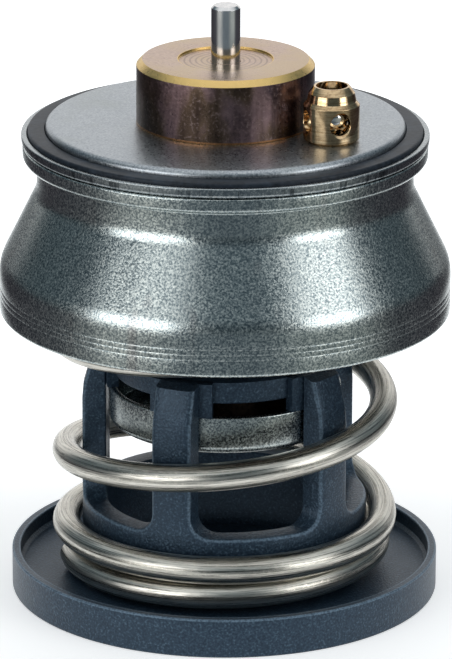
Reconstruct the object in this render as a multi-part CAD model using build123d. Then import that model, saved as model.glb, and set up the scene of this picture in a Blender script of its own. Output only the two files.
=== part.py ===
from build123d import *
from math import ceil, cos, radians, sin
import os

os.makedirs("parts", exist_ok=True)

# Engine thermostat insert: a bell-shaped valve on a wax element, over a moulded cage and foot.
# Millimetres, +Z up the axis, the foot stands on z = 0 and -Y is the front.

# Foot and cage, one moulding
foot_radius = 32.4
foot_height = 6.0
tray_rim = 1.3
tray_floor_z = 3.4
tray_corner = 0.5
port_radius = 14.0
port_floor_z = 2.4
cage_wall = 3.6
neck_undercut = 0.9
neck_top_z = 9.0
sill_z = 14.5
sill_corner = 3.0
taper_start_z = 31.4
post_taper = 1.6
post_top_z = 37.05
cage_top_z = 37.6
post_count = 5
post_width = 6.2
first_post_at = -112.0
post_chamfer = 0.5
guide_ring_inset = 1.1
guide_ring_height = 3.3
guide_collar_wall = 2.1
guide_collar_height = 4.4
stop_web_angle = 32.0

# Bypass cup, a pressed dish that slides in the cage
cup_radius = 17.6
cup_sheet = 1.0
cup_floor_z = 26.5
cup_rim_z = 32.3
cup_corner = 1.3
cup_slide_clearance = 0.4
stop_gap = 0.05
bore_radius = cup_radius + cup_slide_clearance
cage_radius = bore_radius + cage_wall
neck_radius = cage_radius - neck_undercut
post_top_radius = cage_radius - post_taper
guide_ring_radius = bore_radius - guide_ring_inset

# Wax bulb with its stub
bulb_radius = 10.6
bulb_wall = 0.9
bulb_floor = 1.0
bulb_flange_reach = 0.8
bulb_flange_radius = bulb_radius + bulb_flange_reach
bulb_guide_clearance = 0.1
stub_radius = 3.0
stub_length = 3.0
clip_radius = 6.2
clip_thickness = 0.8
clip_teeth = 6
clip_slot_length = 1.3
clip_slot_width = 0.7

# Piston pin and the rubber boot it stands in
pin_radius = 2.2
pin_floor_gap = 8.5
pin_reach = 8.2
pin_chamfer = 0.4
pin_clearance = 0.04
boot_radius = 3.9
boot_tip = 2.0
boot_flange = 1.1
backup_radius = 6.0
backup_thickness = 0.8

# Element head, turned brass, crimped round the bulb's flange
head_height = 9.6
head_shoulder = 0.9
head_chamfer = 0.9
head_recess_radius = 7.07
head_recess_depth = 0.35
spigot_wall = 1.0
spigot_radius = bulb_flange_radius + spigot_wall
head_radius = spigot_radius + head_shoulder
spigot_depth = 6.8
spigot_clearance = 0.1
crimp_lip = 0.9
crimp_gap = 0.1
circlip_reach = 2.2
circlip_radius = spigot_radius + circlip_reach
circlip_thickness = 1.0
circlip_groove = 0.8
circlip_gap_angle = 24.0

# Top disc, carrier plate and seal ring; the disc is as wide as the vent between head and seal needs
vent_radius = 4.15
vent_head_gap = 1.13
vent_seal_margin = 4.13
vent_at = -32.92
vent_reach = head_radius + vent_head_gap + vent_radius
disc_radius = vent_reach + vent_radius + vent_seal_margin
disc_sheet = 1.0
disc_edge_drop = 1.7
disc_edge_radius = 1.0
carrier_sheet = 0.9
carrier_seal_gap = 0.07
carrier_floor_z = 70.0
carrier_rim_height = 1.6
carrier_step_run = 0.9
carrier_bend = 0.5
seal_width_outside = 2.64
seal_radius = disc_radius + seal_width_outside
carrier_radius = seal_radius + carrier_seal_gap + carrier_sheet
seal_lap = 3.46
seal_step_gap = 1.4
seal_inner_radius = disc_radius - seal_lap
carrier_step_radius = seal_inner_radius - seal_step_gap
seal_squeezed = 1.3
seal_shoulder_drop = 1.0
seal_edge_drop = 1.03
seal_edge = 0.3
seal_groove_gap = 0.1
disc_top_z = carrier_floor_z + carrier_sheet + seal_squeezed + disc_sheet
bulb_flange_z = disc_top_z - spigot_depth
head_top_z = disc_top_z + head_height
pin_top_z = head_top_z + pin_reach
pin_bottom_z = cup_floor_z + cup_sheet + bulb_floor + pin_floor_gap

# Bell, pressed steel
bell_sheet = 0.8
bell_flange_drop = 2.35
bell_flange_reach = 2.1
bell_hem_round = 0.9
bell_hem_top_round = 0.3
bell_spring_gap = 1.2
bell_neck_height = 7.0
bell_cone_height = 11.6
bell_wall_height = 7.3
bell_cone_top_z = carrier_floor_z - bell_neck_height
bell_cone_bottom_z = bell_cone_top_z - bell_cone_height
bell_radius = 33.93
bell_lip_z = bell_cone_bottom_z - bell_wall_height
bell_flange_bend = 1.0
bell_neck_bend = 5.0
bell_wall_bend = 9.0
bell_bead_height = 1.2
bell_bead_depth = 1.6

# Main spring, round wire
wire_radius = 2.1
coil_cage_gap = 0.4
end_coil_neck_gap = 0.35
coil_radius = cage_radius + coil_cage_gap + wire_radius
end_coil_radius = neck_radius + end_coil_neck_gap + wire_radius
bell_neck_radius = coil_radius + wire_radius + bell_spring_gap + bell_sheet
bell_flange_radius = bell_neck_radius + bell_flange_reach
coil_start_at = 188.0
coil_turns = 5.35
closed_turns = 1.45
top_closed_turns = 1.0
coil_lean = 0.6
coil_points_per_turn = 12

# Air vent valve
vent_x = vent_reach * cos(radians(vent_at))
vent_y = vent_reach * sin(radians(vent_at))
vent_height = 8.3
vent_shoulder_height = 5.5
vent_band_radius = 3.65
vent_band_height = 6.1
vent_cone_radius = 3.4
vent_cone_height = 7.3
vent_rim_radius = 2.65
vent_foot_chamfer = 0.4
vent_bore_radius = 3.05
vent_floor = 1.4
vent_cone_bore_height = 6.0
vent_mouth_radius = 2.3
vent_hole_radius = 1.6
vent_hole_height = 3.2
vent_hole_count = 4
vent_hole_at = -71.2
vent_inlet_radius = 1.5
vent_stem_radius = 2.4
vent_rivet_radius = 3.1
vent_rivet_height = 0.9
ball_radius = 2.7
ball_seat_gap = 0.05


def turned(points):
    """A solid of revolution about the axis from (radius, height) corners."""
    return revolve(Plane.XZ * make_face(Polyline(*points, close=True)), Axis.Z)


def pressed(points, sheet, bend):
    """A sheet ring of revolution from the middle line of the sheet and its bend radii."""
    fold = FilletPolyline(*points, radius=bend)
    return revolve(Plane.XZ * trace(fold, line_width=sheet), Axis.Z)


def wedge(inner, outer, angle, bottom_z, top_z):
    """A straight-sided wedge between two radii, centred on +X."""
    half = radians(angle / 2)
    corners = [(inner * cos(half), -inner * sin(half)), (outer * cos(half), -outer * sin(half))]
    corners += [(x, -y) for x, y in reversed(corners)]
    return Pos(0, 0, bottom_z) * extrude(make_face(Polyline(*corners, close=True)), top_z - bottom_z)


def make_window():
    """The space between two posts, centred on +X; its sides are parallel to the posts' middles."""
    half_pitch = radians(180 / post_count)
    apex = post_width / 2 / sin(half_pitch)
    reach = cage_radius / cos(half_pitch)
    far_x = apex + reach * cos(half_pitch)
    far_y = reach * sin(half_pitch)
    face = make_face(Polyline((apex, 0), (far_x, -far_y), (far_x, far_y), close=True))
    window = Pos(0, 0, sill_z) * extrude(face, 2 * (cage_top_z - sill_z))
    sill_sides = window.edges().group_by(Axis.Z)[0].filter_by(Axis.Y, reverse=True)
    return fillet(sill_sides, sill_corner)


def make_stop_web():
    """One of the wide webs that join the posts to the guide ring and stop the cup's rim."""
    inner = guide_ring_radius - guide_ring_inset / 2
    stop_z = cup_rim_z + stop_gap
    corners = [(inner, stop_z), (bore_radius, stop_z), (bore_radius, cage_top_z), (inner, cage_top_z)]
    section = Plane.XZ * make_face(Polyline(*corners, close=True))
    return Rot(0, 0, -stop_web_angle / 2) * revolve(section, Axis.Z, revolution_arc=stop_web_angle)


def make_cage():
    tray_radius = foot_radius - tray_rim
    body = turned([
        (port_radius, 0),
        (foot_radius, 0),
        (foot_radius, foot_height),
        (tray_radius, foot_height),
        (tray_radius, tray_floor_z + tray_corner),
        (tray_radius - tray_corner, tray_floor_z),
        (neck_radius, tray_floor_z),
        (neck_radius, neck_top_z),
        (cage_radius, neck_top_z + neck_undercut),
        (cage_radius, taper_start_z),
        (post_top_radius, post_top_z),
        (bore_radius, cage_top_z),
        (bore_radius, port_floor_z),
        (port_radius, port_floor_z),
    ])
    pitch = 360 / post_count
    window = make_window()
    for i in range(post_count):
        body -= Rot(0, 0, first_post_at + (i + 0.5) * pitch) * window
    outer_edges = [
        e for e in body.edges()
        if sill_z - 0.1 < e.center().Z < post_top_z - 0.1 and abs(e.center().Z - taper_start_z) > 0.1
        and min((e @ t).X ** 2 + (e @ t).Y ** 2 for t in (0, 0.5, 1)) > (post_top_radius - 0.1) ** 2
    ]
    body = chamfer(outer_edges, post_chamfer)
    guide_radius = bulb_radius + bulb_guide_clearance
    collar_radius = guide_radius + guide_collar_wall
    collar_z = cage_top_z + guide_collar_height
    ring_z = cage_top_z - guide_ring_height
    body += turned([
        (guide_radius, ring_z),
        (guide_ring_radius, ring_z),
        (guide_ring_radius, cage_top_z),
        (collar_radius, cage_top_z),
        (collar_radius, collar_z),
        (guide_radius, collar_z),
    ])
    for i in range(post_count):
        body += Rot(0, 0, first_post_at + i * pitch) * make_stop_web()
    return body


def make_bypass_cup():
    middle = cup_radius - cup_sheet / 2
    floor = cup_floor_z + cup_sheet / 2
    return pressed(
        [(stub_radius, floor), (middle, floor), (middle, cup_rim_z)],
        cup_sheet,
        cup_corner - cup_sheet / 2,
    )


def make_cup_clip():
    top = cup_floor_z
    washer = turned([
        (stub_radius, top - clip_thickness),
        (clip_radius, top - clip_thickness),
        (clip_radius, top),
        (stub_radius, top),
    ])
    slot = Pos(stub_radius, 0, top) * Box(2 * clip_slot_length, clip_slot_width, 4 * clip_thickness)
    for i in range(clip_teeth):
        washer -= Rot(0, 0, i * 360 / clip_teeth) * slot
    return washer


def make_bulb():
    bottom = cup_floor_z + cup_sheet
    inner = bulb_radius - bulb_wall
    return turned([
        (0, bottom - cup_sheet - stub_length),
        (stub_radius, bottom - cup_sheet - stub_length),
        (stub_radius, bottom),
        (bulb_radius, bottom),
        (bulb_radius, bulb_flange_z - bulb_wall),
        (bulb_flange_radius, bulb_flange_z - bulb_wall),
        (bulb_flange_radius, bulb_flange_z),
        (inner, bulb_flange_z),
        (inner, bottom + bulb_floor),
        (0, bottom + bulb_floor),
    ])


def make_wax():
    bottom = cup_floor_z + cup_sheet + bulb_floor
    inner = bulb_radius - bulb_wall
    tip = pin_bottom_z - boot_tip
    return turned([
        (0, bottom),
        (inner, bottom),
        (inner, bulb_flange_z),
        (boot_radius, bulb_flange_z),
        (boot_radius, tip),
        (0, tip),
    ])


def make_boot():
    bore = pin_radius + pin_clearance
    tip = pin_bottom_z - boot_tip
    return turned([
        (0, tip),
        (boot_radius, tip),
        (boot_radius, bulb_flange_z),
        (bulb_flange_radius, bulb_flange_z),
        (bulb_flange_radius, bulb_flange_z + boot_flange),
        (bore, bulb_flange_z + boot_flange),
        (bore, pin_bottom_z),
        (0, pin_bottom_z),
    ])


def make_backup_washer():
    bottom = bulb_flange_z + boot_flange
    bore = pin_radius + pin_clearance
    return turned([
        (bore, bottom),
        (backup_radius, bottom),
        (backup_radius, bottom + backup_thickness),
        (bore, bottom + backup_thickness),
    ])


def make_head():
    bore = pin_radius + pin_clearance
    washer_z = bulb_flange_z + boot_flange
    lip_top = bulb_flange_z - bulb_wall
    clip_top = disc_top_z - 2 * disc_sheet + (disc_sheet - carrier_sheet)
    clip_bottom = clip_top - circlip_thickness
    groove = spigot_radius - circlip_groove
    crimp_radius = bulb_radius + crimp_gap
    recess_z = head_top_z - head_recess_depth
    return turned([
        (bore, recess_z),
        (head_recess_radius, recess_z),
        (head_recess_radius, head_top_z),
        (head_radius - head_chamfer, head_top_z),
        (head_radius, head_top_z - head_chamfer),
        (head_radius, disc_top_z),
        (spigot_radius, disc_top_z),
        (spigot_radius, clip_top),
        (groove, clip_top),
        (groove, clip_bottom),
        (spigot_radius, clip_bottom),
        (spigot_radius, lip_top - crimp_lip),
        (crimp_radius, lip_top - crimp_lip),
        (crimp_radius, lip_top),
        (bulb_flange_radius, lip_top),
        (bulb_flange_radius, washer_z),
        (backup_radius, washer_z),
        (backup_radius, washer_z + backup_thickness),
        (bore, washer_z + backup_thickness),
    ])


def make_circlip():
    top = disc_top_z - 2 * disc_sheet + (disc_sheet - carrier_sheet)
    groove = spigot_radius - circlip_groove
    ring = turned([
        (groove, top - circlip_thickness),
        (circlip_radius, top - circlip_thickness),
        (circlip_radius, top),
        (groove, top),
    ])
    gap_bottom = top - 2 * circlip_thickness
    gap_top = top + circlip_thickness
    return ring - wedge(groove / 2, 2 * circlip_radius, circlip_gap_angle, gap_bottom, gap_top)


def make_pin():
    return turned([
        (0, pin_bottom_z),
        (pin_radius, pin_bottom_z),
        (pin_radius, pin_top_z - pin_chamfer),
        (pin_radius - pin_chamfer, pin_top_z),
        (0, pin_top_z),
    ])


def vent_hole(bottom_z, top_z):
    """The hole in a plate that the stem of the vent is riveted through."""
    height = top_z - bottom_z
    return Pos(vent_x, vent_y, bottom_z + height / 2) * Cylinder(vent_stem_radius, height + 2)


def make_top_disc():
    middle_z = disc_top_z - disc_sheet / 2
    middle = disc_radius - disc_sheet / 2
    hole = spigot_radius + spigot_clearance
    disc = pressed(
        [(hole, middle_z), (middle, middle_z), (middle, disc_top_z - disc_edge_drop)],
        disc_sheet,
        disc_edge_radius,
    )
    return disc - vent_hole(disc_top_z - disc_sheet, disc_top_z)


def make_carrier():
    hole = spigot_radius + spigot_clearance
    floor = carrier_floor_z + carrier_sheet / 2
    centre = disc_top_z - disc_sheet - carrier_sheet / 2
    rim = carrier_radius - carrier_sheet / 2
    plate = pressed(
        [
            (hole, centre),
            (carrier_step_radius, centre),
            (carrier_step_radius + carrier_step_run, floor),
            (rim, floor),
            (rim, carrier_floor_z + carrier_rim_height),
        ],
        carrier_sheet,
        carrier_bend,
    )
    return plate - vent_hole(centre - carrier_sheet, centre + carrier_sheet)


def make_seal():
    bottom = carrier_floor_z + carrier_sheet
    disc_under = disc_top_z - disc_sheet
    edge_z = disc_top_z - disc_edge_drop
    groove_out = disc_radius + seal_groove_gap
    groove_in = disc_radius - disc_sheet - seal_groove_gap
    inner_bend = disc_edge_radius - disc_sheet / 2
    edge_top = disc_top_z - seal_edge_drop
    return turned([
        (seal_inner_radius, bottom),
        (seal_radius, bottom),
        (seal_radius, edge_top - seal_edge),
        (seal_radius - seal_edge, edge_top),
        (groove_out, disc_top_z - seal_shoulder_drop),
        (groove_out, edge_z),
        (groove_in, edge_z),
        (groove_in, disc_under - inner_bend),
        (groove_in - inner_bend, disc_under),
        (seal_inner_radius, disc_under),
    ])


def make_bell():
    top = carrier_floor_z
    half = bell_sheet / 2
    flange_z = top - bell_flange_drop
    neck = bell_neck_radius - half
    skirt = pressed(
        [
            (bell_flange_radius - bell_hem_round, flange_z + half),
            (neck, flange_z + half),
            (neck, bell_cone_top_z),
            (bell_radius - half, bell_cone_bottom_z),
            (bell_radius - half, bell_lip_z + bell_bead_height / 2),
        ],
        bell_sheet,
        [bell_flange_bend, bell_neck_bend, bell_wall_bend],
    )
    hem_width = bell_flange_radius - neck
    hem = Pos(neck + hem_width / 2, top - bell_flange_drop / 2) * Rectangle(hem_width, bell_flange_drop)
    hem = fillet(hem.vertices().sort_by(Axis.Y)[:2].sort_by(Axis.X)[-1], bell_hem_round)
    hem = fillet(hem.vertices().sort_by(Axis.Y)[-2:].sort_by(Axis.X)[-1], bell_hem_top_round)
    bead_round = bell_bead_height / 2
    bead = Pos(bell_radius - bell_bead_depth / 2, bell_lip_z + bead_round) * RectangleRounded(
        bell_bead_depth, bell_bead_height, bead_round * 0.95
    )
    return skirt + revolve(Plane.XZ * hem, Axis.Z) + revolve(Plane.XZ * bead, Axis.Z)


def coil_point(turn):
    """A point on the wire's middle line: closed ends, an open middle and a slight lean."""
    low = tray_floor_z + wire_radius
    high = carrier_floor_z - wire_radius
    closed_pitch = 2 * wire_radius
    open_start = low + closed_turns * closed_pitch
    open_end = high - top_closed_turns * closed_pitch
    open_turns = coil_turns - closed_turns - top_closed_turns
    open_share = min(1, max(0, (turn - closed_turns) / open_turns))
    closed_part = min(turn, closed_turns) + max(0, turn - coil_turns + top_closed_turns)
    height = low + closed_part * closed_pitch + open_share * (open_end - open_start)
    spread = min(1, max(0, 2 * turn - 1))
    radius = end_coil_radius + (coil_radius - end_coil_radius) * spread
    angle = radians(coil_start_at + 360 * turn)
    lean = coil_lean * min(1, turn) * (1 - open_share)
    return (radius * cos(angle), radius * sin(angle), height - lean * cos(angle))


def make_spring():
    count = ceil(coil_turns * coil_points_per_turn)
    path = Spline(*[coil_point(coil_turns * i / count) for i in range(count + 1)])
    section = Plane(origin=path @ 0, z_dir=path % 0) * Circle(wire_radius)
    return sweep(section, path)


def make_vent_body():
    base = disc_top_z
    rivet_z = disc_top_z - disc_sheet - carrier_sheet
    shell = turned([
        (vent_inlet_radius, rivet_z - vent_rivet_height),
        (vent_rivet_radius, rivet_z - vent_rivet_height),
        (vent_rivet_radius, rivet_z),
        (vent_stem_radius, rivet_z),
        (vent_stem_radius, base),
        (vent_radius - vent_foot_chamfer, base),
        (vent_radius, base + vent_foot_chamfer),
        (vent_radius, base + vent_shoulder_height),
        (vent_band_radius, base + vent_band_height),
        (vent_cone_radius, base + vent_cone_height),
        (vent_rim_radius, base + vent_height),
        (vent_mouth_radius, base + vent_height),
        (vent_bore_radius, base + vent_cone_bore_height),
        (vent_bore_radius, base + vent_floor),
        (vent_inlet_radius, base + vent_floor),
    ])
    upright = Cylinder(vent_hole_radius, 4 * vent_radius, align=(Align.CENTER, Align.CENTER, Align.MIN))
    drill = Rot(0, 90, 0) * upright
    for i in range(vent_hole_count):
        angle = vent_hole_at + i * 360 / vent_hole_count
        shell -= Rot(0, 0, angle) * Pos(0, 0, base + vent_hole_height) * drill
    return Pos(vent_x, vent_y, 0) * shell


def make_vent_ball():
    seat_z = disc_top_z + vent_floor
    height = (ball_radius ** 2 - vent_inlet_radius ** 2) ** 0.5
    return Pos(vent_x, vent_y, seat_z + height + ball_seat_gap) * Sphere(ball_radius)


nodes = {
    "cage_foot": make_cage(),
    "main_spring": make_spring(),
    "bell": make_bell(),
    "carrier_plate": make_carrier(),
    "seal_ring": make_seal(),
    "top_disc": make_top_disc(),
    "element_head": make_head(),
    "head_circlip": make_circlip(),
    "wax_bulb": make_bulb(),
    "wax_charge": make_wax(),
    "rubber_boot": make_boot(),
    "backup_washer": make_backup_washer(),
    "bypass_cup": make_bypass_cup(),
    "cup_clip": make_cup_clip(),
    "vent_body": make_vent_body(),
    "vent_ball": make_vent_ball(),
    "piston_pin": make_pin(),
}

for name, shape in nodes.items():
    export_step(shape, f"parts/{name}.step")
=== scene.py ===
import bmesh
import bpy
from math import asin, atan2, ceil, cos, pi, radians, sin, tan
from mathutils import Euler, Matrix, Vector


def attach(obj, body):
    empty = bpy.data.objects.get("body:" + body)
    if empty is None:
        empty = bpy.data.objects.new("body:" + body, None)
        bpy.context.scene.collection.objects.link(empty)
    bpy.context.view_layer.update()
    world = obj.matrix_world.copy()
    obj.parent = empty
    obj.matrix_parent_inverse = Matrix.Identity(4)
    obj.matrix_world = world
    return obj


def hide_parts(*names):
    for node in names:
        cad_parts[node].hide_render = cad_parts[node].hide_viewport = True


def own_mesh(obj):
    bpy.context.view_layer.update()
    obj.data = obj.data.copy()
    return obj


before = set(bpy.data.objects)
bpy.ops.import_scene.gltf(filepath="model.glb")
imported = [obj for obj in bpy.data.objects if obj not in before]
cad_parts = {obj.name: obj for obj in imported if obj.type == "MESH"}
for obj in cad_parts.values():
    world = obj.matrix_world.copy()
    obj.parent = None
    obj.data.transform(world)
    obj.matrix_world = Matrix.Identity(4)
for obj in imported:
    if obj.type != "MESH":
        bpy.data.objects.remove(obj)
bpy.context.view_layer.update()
mm = 0.001

# Studio: a strip of white paper on a floor painted in sectors with light and shade, bright bands and
# dark sectors which the metal mirrors as painted reflections, under soft lamps. The camera has a long
# lens and stands a little above, leaning a hair to one side.
camera_distance = 760 * mm
camera_height = 291.3 * mm
camera_pitch = 18.27
camera_roll = 0.17
camera_side = 0.17 * mm
lens_px = 5301.6
image_height_px = 659
floor_half = 3.0
paper_colour = (0.96, 0.96, 0.96)
paper_half = 0.062
paper_fade = 1.8
paper_lift = 0.42
backdrop_lift = 0.9
backdrop_starts = 0.02
backdrop_full = 0.12
floor_light_and_shade = (
    (0.0, (0.80, 0.80, 0.80)), (0.06, (0.40, 0.40, 0.40)), (0.12, (0.07, 0.06, 0.07)),
    (0.28, (0.10, 0.10, 0.11)), (0.345, (0.50, 0.50, 0.48)), (0.385, (0.50, 0.50, 0.48)),
    (0.45, (0.19, 0.22, 0.24)), (0.55, (0.19, 0.22, 0.24)), (0.62, (0.36, 0.38, 0.36)),
    (0.68, (0.36, 0.38, 0.36)), (0.73, (0.08, 0.08, 0.09)), (0.88, (0.07, 0.06, 0.07)),
    (0.94, (0.40, 0.40, 0.40)), (1.0, (0.80, 0.80, 0.80)),
)

camera_data = bpy.data.cameras.new("camera")
camera_data.sensor_fit = "VERTICAL"
camera_data.sensor_height = 36
camera_data.lens = lens_px / image_height_px * 36
camera_data.clip_end = 20
camera = bpy.data.objects.new("camera", camera_data)
camera.location = (camera_side, -camera_distance, camera_height)
tilt = Euler((radians(90 - camera_pitch), 0, 0)).to_matrix()
camera.rotation_euler = (tilt @ Matrix.Rotation(radians(camera_roll), 3, "Z")).to_euler()
bpy.context.scene.collection.objects.link(camera)
bpy.context.scene.camera = camera
bpy.context.scene.view_settings.view_transform = "Standard"


def feed(tree, socket, value):
    """Gives a socket a link, a number, a colour or anything else that it can hold."""
    if isinstance(value, bpy.types.NodeSocket):
        tree.links.new(value, socket)
    elif isinstance(value, tuple) and len(socket.default_value) == 4:
        socket.default_value = (*value, 1)
    else:
        socket.default_value = value


def calc(tree, operation, first, second=0.0):
    """One sum on sockets or numbers."""
    node = tree.nodes.new("ShaderNodeMath")
    node.operation = operation
    feed(tree, node.inputs[0], first)
    feed(tree, node.inputs[1], second)
    return node.outputs[0]


def ranged(tree, factor, low, high, start=0.0, end=1.0, smooth=False):
    """Maps a factor from start..end to low..high, each a number or a socket."""
    node = tree.nodes.new("ShaderNodeMapRange")
    node.interpolation_type = "SMOOTHSTEP" if smooth else "LINEAR"
    sizes = {"Value": factor, "From Min": start, "From Max": end, "To Min": low, "To Max": high}
    for name, value in sizes.items():
        feed(tree, node.inputs[name], value)
    return node.outputs["Result"]


def ramp(tree, factor, *stops):
    """Maps a factor to colours; each stop is (position, (r, g, b))."""
    node = tree.nodes.new("ShaderNodeValToRGB")
    while len(node.color_ramp.elements) < len(stops):
        node.color_ramp.elements.new(0.5)
    for element, (position, colour) in zip(node.color_ramp.elements, stops):
        element.position = position
        element.color = (*colour, 1)
    feed(tree, node.inputs["Fac"], factor)
    return node.outputs["Color"]


def mix(tree, factor, first, second):
    """Mixes two colours; each value is a socket, a number or a colour."""
    node = tree.nodes.new("ShaderNodeMix")
    node.data_type = "RGBA"
    for socket, value in ((node.inputs[0], factor), (node.inputs[6], first), (node.inputs[7], second)):
        feed(tree, socket, value)
    return node.outputs[2]


def span(tree, x, y):
    """The length of a level line whose two sides are x and y."""
    squares = calc(tree, "ADD", calc(tree, "MULTIPLY", x, x), calc(tree, "MULTIPLY", y, y))
    return calc(tree, "SQRT", squares)


def new_finish(name, colour, roughness, metallic=0.0):
    """A new finish with plain values on its shader, and the piece's own coordinates."""
    finish = bpy.data.materials.new(name)
    finish.use_nodes = True
    tree = finish.node_tree
    shader = tree.nodes["Principled BSDF"]
    shader.inputs["Base Color"].default_value = (*colour, 1)
    shader.inputs["Roughness"].default_value = roughness
    shader.inputs["Metallic"].default_value = metallic
    return finish, tree, shader, tree.nodes.new("ShaderNodeTexCoord").outputs["Object"]


floor_mesh = bpy.data.meshes.new("studio_floor")
floor_corners = [(x * floor_half, y * floor_half, 0) for x, y in ((-1, -1), (1, -1), (1, 1), (-1, 1))]
floor_mesh.from_pydata(floor_corners, [], [(0, 1, 2, 3)])
studio_floor = bpy.data.objects.new("studio_floor", floor_mesh)
bpy.context.scene.collection.objects.link(studio_floor)
floor_finish, tree, shader, place = new_finish("studio_floor", paper_colour, 0.9)
shader.inputs["Specular IOR Level"].default_value = 0.0
split = tree.nodes.new("ShaderNodeSeparateXYZ")
tree.links.new(place, split.inputs[0])
beside, behind = split.outputs["X"], split.outputs["Y"]
before = calc(tree, "MINIMUM", behind, 0.0)
from_paper = span(tree, beside, before)
round_floor = calc(tree, "ARCTAN2", beside, calc(tree, "MULTIPLY", behind, -1.0))
# The floor round the paper is toned by direction: painted light and shade, with bright bands under the
# softboxes and dark sectors between, for the metal to mirror.
floor_tone = ramp(tree, ranged(tree, round_floor, 0.0, 1.0, -pi, pi), *floor_light_and_shade)
off_paper = ranged(tree, from_paper, 0.0, 1.0, paper_half, paper_fade * paper_half, smooth=True)
tree.links.new(mix(tree, off_paper, paper_colour, floor_tone), shader.inputs["Base Color"])
rays = tree.nodes.new("ShaderNodeLightPath").outputs
mirrored = calc(tree, "MAXIMUM", rays["Is Glossy Ray"], rays["Is Transmission Ray"])
seen = calc(tree, "MAXIMUM", rays["Is Camera Ray"], mirrored)
tree.links.new(mix(tree, off_paper, paper_colour, (0.0, 0.0, 0.0)), shader.inputs["Emission Color"])
lift = ranged(tree, behind, paper_lift, backdrop_lift, backdrop_starts, backdrop_full, smooth=True)
tree.links.new(calc(tree, "MULTIPLY", seen, lift), shader.inputs["Emission Strength"])
floor_mesh.materials.append(floor_finish)

# The room is dim and bluish low down, lighter overhead, and has a white backdrop behind the object.
room_tones = (
    (0.0, (0.06, 0.08, 0.09)), (0.35, (0.08, 0.11, 0.13)), (0.60, (0.15, 0.20, 0.23)),
    (0.82, (0.80, 0.84, 0.86)), (1.0, (0.96, 0.98, 1.0)),
)
room_backdrop = (0.62, 0.88)
world = bpy.data.worlds.new("studio")
world.use_nodes = True
room = world.node_tree
split = room.nodes.new("ShaderNodeSeparateXYZ")
room.links.new(room.nodes.new("ShaderNodeTexCoord").outputs["Generated"], split.inputs[0])
backdrop = ranged(room, split.outputs["Y"], 0.0, 1.0, *room_backdrop, smooth=True)
room_colour = mix(room, backdrop, ramp(room, split.outputs["Z"], *room_tones), (1.0, 1.0, 1.0))
room.links.new(room_colour, room.nodes["Background"].inputs["Color"])
bpy.context.scene.world = world


def softbox(name, place, aim, width, height, power):
    """A soft rectangular lamp at a place, facing a point on the object."""
    lamp = bpy.data.lights.new(name, "AREA")
    lamp.shape = "RECTANGLE"
    lamp.size = width
    lamp.size_y = height
    lamp.energy = power
    holder = bpy.data.objects.new(name, lamp)
    holder.location = place
    holder.rotation_euler = (Vector(aim) - Vector(place)).to_track_quat("-Z", "Y").to_euler()
    bpy.context.scene.collection.objects.link(holder)


softbox("softbox_left", (-0.55, -0.79, 0.46), (0, 0, 0.05), 0.54, 0.75, 0.75)
softbox("softbox_right", (0.82, -0.51, 0.46), (0, 0, 0.05), 0.76, 0.75, 1.8)
softbox("window_left", (-0.66, -0.61, 0.19), (0, 0, 0.10), 0.72, 0.36, 2.1)
softbox("window_right", (0.74, -0.50, 0.20), (0, 0, 0.10), 0.42, 0.34, 1.1)

# Foot and cage: one moulding in glass-filled plastic. A round foot with a shallow tray for the
# spring, a neck, a wall with five tall windows between posts, and a guide ring for the bulb.
foot_radius = 32.4
foot_height = 6.0
tray_rim = 1.3
tray_floor_z = 3.4
tray_corner = 0.5
port_radius = 14.0
port_floor_z = 2.4
neck_radius = 20.7
neck_top_z = 9.0
cage_radius = 21.6
bore_radius = 18.0
wall_foot_z = 10.2
sill_z = 14.5
sill_corner = 3.0
taper_start_z = 31.4
post_top_radius = 20.0
post_top_z = 37.05
cage_top_z = 37.6
post_count = 5
post_width = 6.2
first_post_at = -112.0
post_edge = 0.5
bore_edge = 0.25
side_points = 8
guide_ring_radius = 16.9
guide_ring_height = 3.3
guide_bore_radius = 10.7
guide_collar_radius = 12.8
guide_collar_height = 4.4
web_inner_radius = 16.35
web_foot_z = 32.35
web_half_angle = 16
web_steps = 12
post_top_rise = 0.275
corner_steps = 8
sill_steps = 15
highlight_band_width = 0.3
rim_slack = 0.2
highlight_strength = 0.9
lathe_steps = 240
arc_step = 12
flat_corner = 89
side_share = 0.49
axis_slack = 1e-4
weld_distance = 0.002


def rounded(corners):
    """The points of a closed outline whose (radius, height, rounding) corners become arcs."""
    points = []
    for i, (r, z, rounding) in enumerate(corners):
        here = Vector((r, z))
        back = Vector(corners[i - 1][:2]) - here
        ahead = Vector(corners[(i + 1) % len(corners)][:2]) - here
        half = back.angle(ahead) / 2
        if rounding <= 0 or half > radians(flat_corner):
            points.append(here)
            continue
        reach = min(rounding / tan(half), side_share * back.length, side_share * ahead.length)
        centre = here + (back.normalized() + ahead.normalized()).normalized() * (reach / cos(half))
        start = here + back.normalized() * reach - centre
        end = here + ahead.normalized() * reach - centre
        sweep = atan2(start.x * end.y - start.y * end.x, start.dot(end))
        steps = max(2, ceil(abs(sweep) / radians(arc_step)))
        for k in range(steps + 1):
            points.append(centre + Matrix.Rotation(sweep * k / steps, 2) @ start)
    return points


def lathe(form, corners, steps=lathe_steps, centre=(0, 0)):
    """Adds a turned solid to a bmesh, from its outline's (radius, height, rounding) corners."""
    rings = []
    for r, z in rounded(corners):
        angles = [2 * pi * k / steps for k in range(steps if r > axis_slack else 1)]
        rings.append([
            form.verts.new(((centre[0] + r * cos(a)) * mm, (centre[1] + r * sin(a)) * mm, z * mm))
            for a in angles
        ])
    for near, far in zip(rings, rings[1:] + rings[:1]):
        for k in range(steps):
            ahead = k + 1
            corner = (near[k % len(near)], near[ahead % len(near)], far[ahead % len(far)], far[k % len(far)])
            distinct = list(dict.fromkeys(corner))
            if len(distinct) > 2:
                form.faces.new(distinct)


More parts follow.
